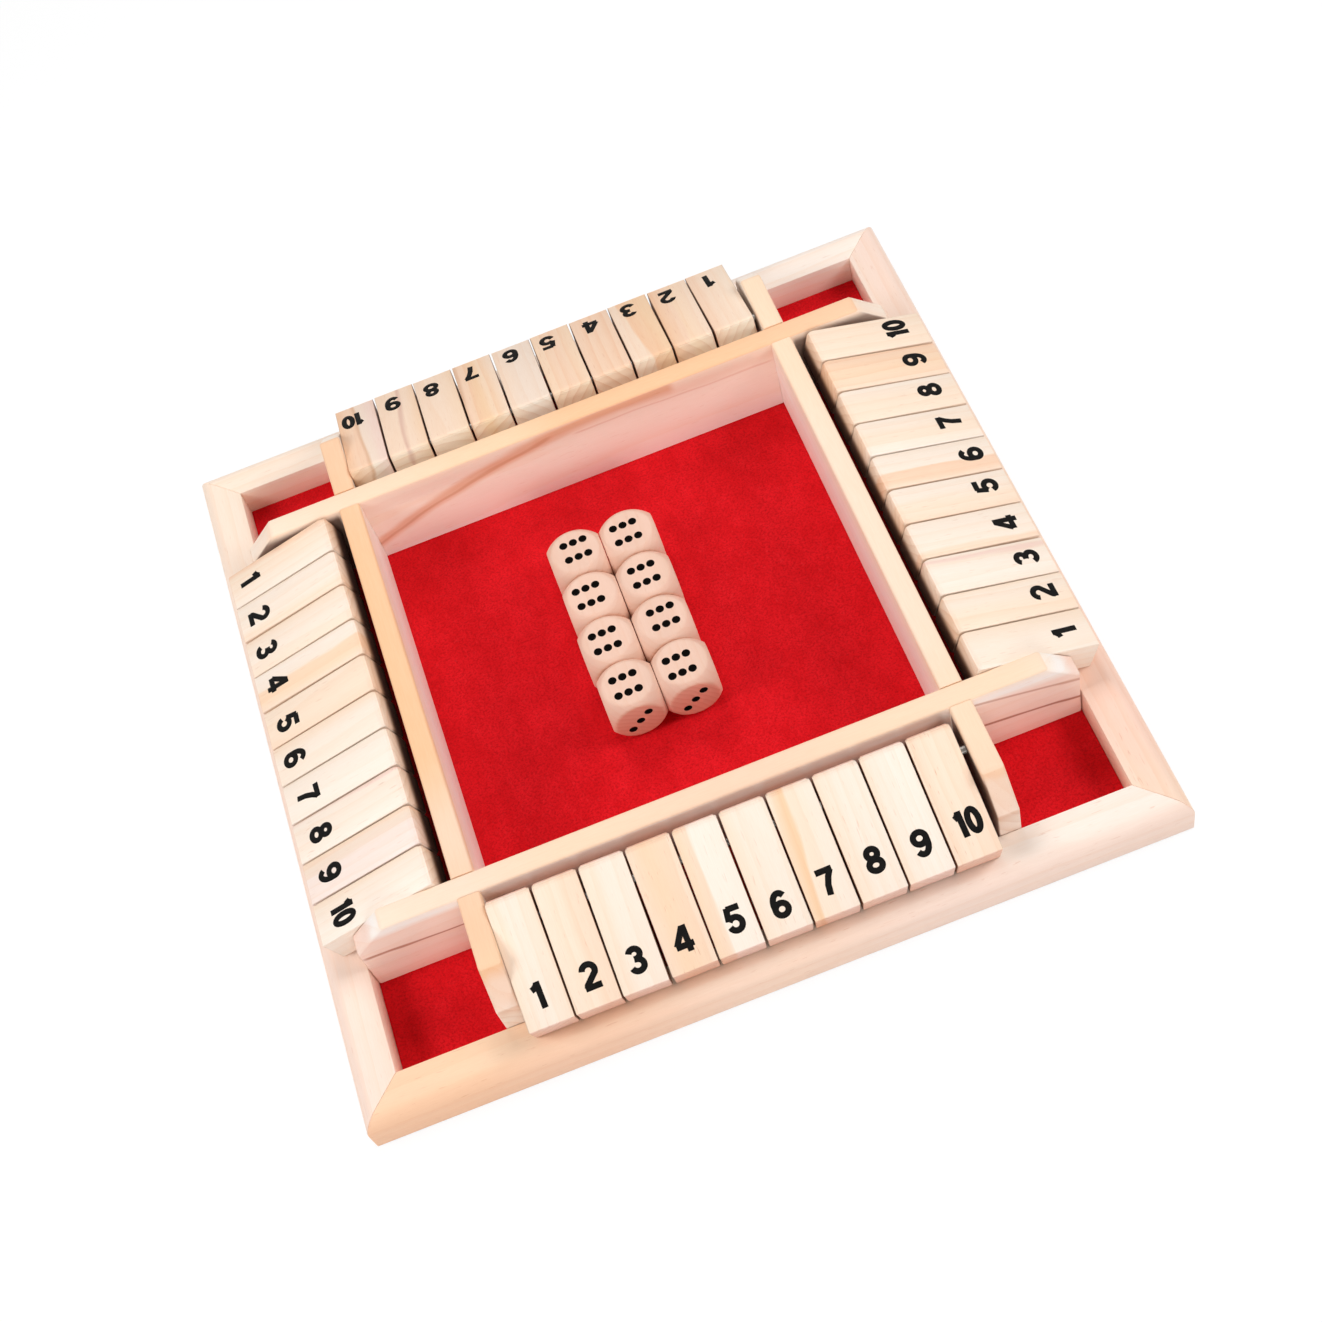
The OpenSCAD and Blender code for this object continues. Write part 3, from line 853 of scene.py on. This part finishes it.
# a stroke is drawn as a line and swept with a flat nib
def drawStroke(line, squeeze):
    closed = math.dist(line[0], line[-1]) < 1e-6
    points = line[:-1] if closed else line
    high = numberStyle["height"] * mm
    half = numberStyle["stroke"] * numberStyle["height"] * mm / 2
    low, top = -numberStyle["sunk"] * mm, numberStyle["ink"] * mm
    nib = addLine("nib", [(-half, low), (half, low), (half, top), (-half, top)], True)
    stroke = addLine("stroke", [(x * squeeze * high, y * high) for x, y in points], closed)
    stroke.data.bevel_mode = "OBJECT"
    stroke.data.bevel_object = nib
    stroke.data.use_fill_caps = True
    pick(stroke)
    bpy.ops.object.convert(target="MESH")
    stroke = bpy.context.object
    bpy.data.objects.remove(nib)
    bpy.ops.object.mode_set(mode="EDIT")
    bpy.ops.mesh.select_all(action="SELECT")
    bpy.ops.mesh.remove_doubles(threshold=1e-7)
    bpy.ops.mesh.normals_make_consistent(inside=False)
    bpy.ops.object.mode_set(mode="OBJECT")
    return stroke


def drawDigit(digit, squeeze=1.0):
    parts = [drawStroke(line, squeeze) for line in strokes[digit]]
    cutAway(parts[0], parts[1:], "UNION")
    return parts[0]


def drawNumber(number):
    if number < 10:
        figure = drawDigit(number)
    else:
        figure = drawDigit(1, numberStyle["tenSqueeze"])
        nought = drawDigit(0, numberStyle["tenSqueeze"])
        shift = numberStyle["tenGap"] * numberStyle["height"] * mm
        nought.data.transform(Matrix.Translation((shift, 0, 0)))
        pick(figure)
        nought.select_set(True)
        bpy.ops.object.join()
    xs = [v.co.x for v in figure.data.vertices]
    ys = [v.co.y for v in figure.data.vertices]
    figure.data.transform(Matrix.Translation((-(min(xs) + max(xs)) / 2, -(min(ys) + max(ys)) / 2, 0)))
    return figure


# one stamp prints a whole row, so the numbers keep their places against each other
stamp = {"x": [-1.05, 0.12, -0.28, -0.76, 0.62, -0.11, 0.39, 0.34, 0.22, 0.56],
         "y": [0.2, 0.25, 0.78, 0.2, 0.27, 0.94, -0.12, -0.9, -0.46, -1.19],
         "turn": [1.5, 0.5, -0.5, 1.0, -1.0, 0.5, 1.0, 0.0, -0.5, 1.0],
         "rowX": [0.27, 0.87, 0.9, -0.2], "rowY": [19.3, 19.95, 20.9, 20.5]}
for number in range(1, flap["count"] + 1):
    figure = drawNumber(number)
    for i, side in enumerate(sides):
        name = f"{side}_flap_{number}"
        spot = Vector((stamp["x"][number - 1] + stamp["rowX"][i], -stamp["rowY"][i] - stamp["y"][number - 1],
                       flap["thick"] / 2)) * mm
        turn = Matrix.Rotation(math.radians(stamp["turn"][number - 1]), 4, "Z")
        printed = copyPiece(figure, name + "_number", flapPlace(i, number) @ Matrix.Translation(spot) @ turn)
        dress(printed, ink)
        settle(printed, name)
    bpy.data.objects.remove(figure)
print("numbers done")

# dice

# near is half the six's run, far is where the other corner pips lie and close where the three's do;
# slant is the share of far by which they rise
pips = {"radius": 1.33, "depth": 0.8, "near": 2.93, "rowGap": 5.3, "far": 3.4, "close": 2.8, "slant": 0.85,
        "around": 20, "rings": 12}


# places of the pips on a face, across and up
def pipPlaces(count):
    near, row = pips["near"], pips["rowGap"] / 2
    far, rise = pips["far"], pips["far"] * pips["slant"]
    if count == 3:
        far = pips["close"]
    if count == 6:
        return [(x, y) for x in (-near, 0, near) for y in (-row, row)]
    places = []
    if count % 2:
        places.append((0, 0))
    if count >= 2:
        places += [(-far, -rise), (far, rise)]
    if count >= 4:
        places += [(-far, rise), (far, -rise)]
    return places


# the six on top sits where it was drilled, a little off the middle and a little turned
def modelDie(offX, offY, turned):
    clearSelection()
    half = dice["wide"] / 2 * mm
    bpy.ops.mesh.primitive_cube_add(size=2 * half, location=(0, 0, 0))
    die = bpy.context.object
    die.name = "die_pattern"
    bpy.ops.object.mode_set(mode="EDIT")
    bpy.ops.mesh.select_all(action="SELECT")
    bpy.ops.mesh.subdivide(number_cuts=dice["cuts"])
    bpy.ops.object.mode_set(mode="OBJECT")
    for vertex in die.data.vertices:  # tumbling rounds the corners to a ball
        if vertex.co.length > dice["ball"] * mm:
            vertex.co *= dice["ball"] * mm / vertex.co.length
    faces = [((0, 0, 1), (1, 0, 0), (0, 1, 0), 6), ((0, 0, -1), (1, 0, 0), (0, -1, 0), 1),
             ((0, -1, 0), (1, 0, 0), (0, 0, 1), 3), ((0, 1, 0), (-1, 0, 0), (0, 0, 1), 4),
             ((1, 0, 0), (0, 1, 0), (0, 0, 1), 2), ((-1, 0, 0), (0, -1, 0), (0, 0, 1), 5)]
    drills = []
    lift = pips["radius"] - pips["depth"]
    for out, across, up, count in faces:
        for x, y in pipPlaces(count):
            if count == 6:
                x, y = (x * math.cos(turned) - y * math.sin(turned) + offX,
                        x * math.sin(turned) + y * math.cos(turned) + offY)
            where = Vector(out) * (dice["wide"] / 2 + lift) + Vector(across) * x + Vector(up) * y
            clearSelection()
            bpy.ops.mesh.primitive_uv_sphere_add(segments=pips["around"], ring_count=pips["rings"],
                                                 radius=pips["radius"] * mm, location=where * mm)
            drills.append(bpy.context.object)
    clearSelection()
    for drill in drills:
        drill.select_set(True)
    bpy.context.view_layer.objects.active = drills[0]
    bpy.ops.object.join()
    drill = bpy.context.object
    applyPlace(drill)
    dress(drill, pipPaint)
    dress(die, bpy.data.materials.new("die_blank"))
    cutAway(die, [drill])
    return die


# for each die: how far its six is off the middle, whether it lies the other way round, and its tone
dieOff = [(0.4, 0.3), (-0.7, -0.3), (-0.9, -0.2), (-0.4, -0.3), (-0.65, -0.4), (0.55, 0.05), (-0.4, -0.35),
          (-0.9, -0.7)]
dieRound = [False, True, True, False, True, False, False, False]
dieTones = ["biscuit", "rose", "rose", "biscuit", "biscuit", "rose", "rose", "rose"]
sixTurn = math.radians(1.5)
dieLook = {"wide": 16, "turn": Euler((0, 0, 0)), "ringWidth": 1.7, "rings": 0.14, "pores": 0.1, "fibre": 0.15,
           "ends": (-dice["wide"] / 2, dice["wide"] / 2), "endTint": "fff9f4", "endRings": 0.25}
for n in range(2 * dice["rows"]):
    row, column = n // 2, 1 if n % 2 else -1
    centre = Vector((dice["x"] + dice["sway"][row] + column * (dice["pitch"] + dice["spread"][row]) / 2,
                     dice["y"] + ((dice["rows"] - 1) / 2 - row) * dice["pitch"] + dice["step"][row],
                     feltTop + dice["gap"] + dice["wide"] / 2))
    name = f"die_{n + 1}"
    about = -1 if dieRound[n] else 1
    pattern = modelDie(dieOff[n][0] * about, dieOff[n][1] * about, sixTurn)
    spin = Matrix.Rotation(math.radians(180 if dieRound[n] else 0), 4, "Z")
    die = copyPiece(pattern, name + "_wood", Matrix.Translation(centre * mm) @ spin)
    bpy.data.objects.remove(pattern)
    shade(die, 40)
    middle, last = dieTones[(n + 3) % len(dieTones)], dieTones[(n + 5) % len(dieTones)]
    bands = [(0.0, dieTones[n]), (0.5, middle), (1.0, last)]
    look = dict(dieLook, bands=bands, at=centre, seed=70 + 3.1 * n)
    die.data.materials[0] = makePine(name + "_maple", look)
    settle(die, name, name)
print("dice done")

# floor, light and camera

# lengths in metres, the floor's glow and the share of it that the camera sees
studio = {"world": 0.21, "floor": 0.85, "floorSide": 8, "floorDrop": 0.0002, "glow": 1.06, "glowShare": 0.8}
softboxes = {"left": {"place": (-0.48, -0.08, 0.42), "size": 0.28, "power": 1.64},
             "right": {"place": (0.48, -0.08, 0.42), "size": 0.28, "power": 1.64},
             "front": {"place": (0.0, -0.9, 0.34), "size": 0.5, "power": 2.95},
             "back": {"place": (0.0, 0.42, 0.58), "size": 0.35, "power": 1.66}}
camera = {"place": (-6.485, -324.133, 483.201), "turn": (31.8110, 10.9374, -18.3175), "lens": 56.02,
          "sensor": 36, "clip": 0.01}


# 1 where the camera looks straight, or by a mirror image or through clear matter, and 0 for other light
def seenByCamera(tree):
    path = addNode(tree, "ShaderNodeLightPath").outputs
    indirect = calc(tree, "MAXIMUM", path["Is Glossy Ray"], path["Is Transmission Ray"])
    return calc(tree, "MAXIMUM", path["Is Camera Ray"], indirect)


def makeFloor():
    clearSelection()
    bpy.ops.mesh.primitive_plane_add(size=studio["floorSide"], location=(0, 0, -studio["floorDrop"]))
    floor = bpy.context.object
    floor.name = "studio_floor"
    material, tree, skin = newMaterial("floor_white")
    skin.inputs["Base Color"].default_value = (studio["floor"],) * 3 + (1.0,)
    skin.inputs["Roughness"].default_value = 1.0
    skin.inputs["Specular IOR Level"].default_value = 0.0
    glow = addNode(tree, "ShaderNodeEmission", {"Color": (1, 1, 1, 1), "Strength": studio["glow"]})
    shown = calc(tree, "MULTIPLY", seenByCamera(tree), studio["glowShare"])
    mix = addNode(tree, "ShaderNodeMixShader", {0: shown, 1: skin.outputs[0], 2: glow.outputs[0]})
    tree.links.new(mix.outputs[0], tree.nodes["Material Output"].inputs["Surface"])
    dress(floor, material)


def makeWorld():
    world = bpy.data.worlds.new("studio_air")
    bpy.context.scene.world = world
    world.use_nodes = True
    tree = world.node_tree
    strength = calc(tree, "MULTIPLY_ADD", seenByCamera(tree), 1.0 - studio["world"], studio["world"])
    back = tree.nodes["Background"]
    back.inputs["Color"].default_value = (1, 1, 1, 1)
    tree.links.new(strength, back.inputs["Strength"])


def addSoftbox(name, box):
    clearSelection()
    place = Vector(box["place"])
    turn = (Vector((0, 0, 0)) - place).to_track_quat("-Z", "Y").to_euler()
    bpy.ops.object.light_add(type="AREA", location=place, rotation=turn)
    lamp = bpy.context.object
    lamp.name = name
    lamp.data.shape = "DISK"
    lamp.data.size = box["size"]
    lamp.data.energy = box["power"]


def addCamera():
    clearSelection()
    bpy.ops.object.camera_add(location=Vector(camera["place"]) * mm,
                              rotation=[math.radians(angle) for angle in camera["turn"]])
    eye = bpy.context.object
    eye.name = "photo_camera"
    eye.data.lens = camera["lens"]
    eye.data.sensor_width = camera["sensor"]
    eye.data.clip_start = camera["clip"]
    eye.data.dof.use_dof = False
    bpy.context.scene.camera = eye


makeFloor()
makeWorld()
for name, box in softboxes.items():
    addSoftbox("softbox_" + name, box)
addCamera()
bpy.context.scene.view_settings.view_transform = "Standard"
print("studio done")
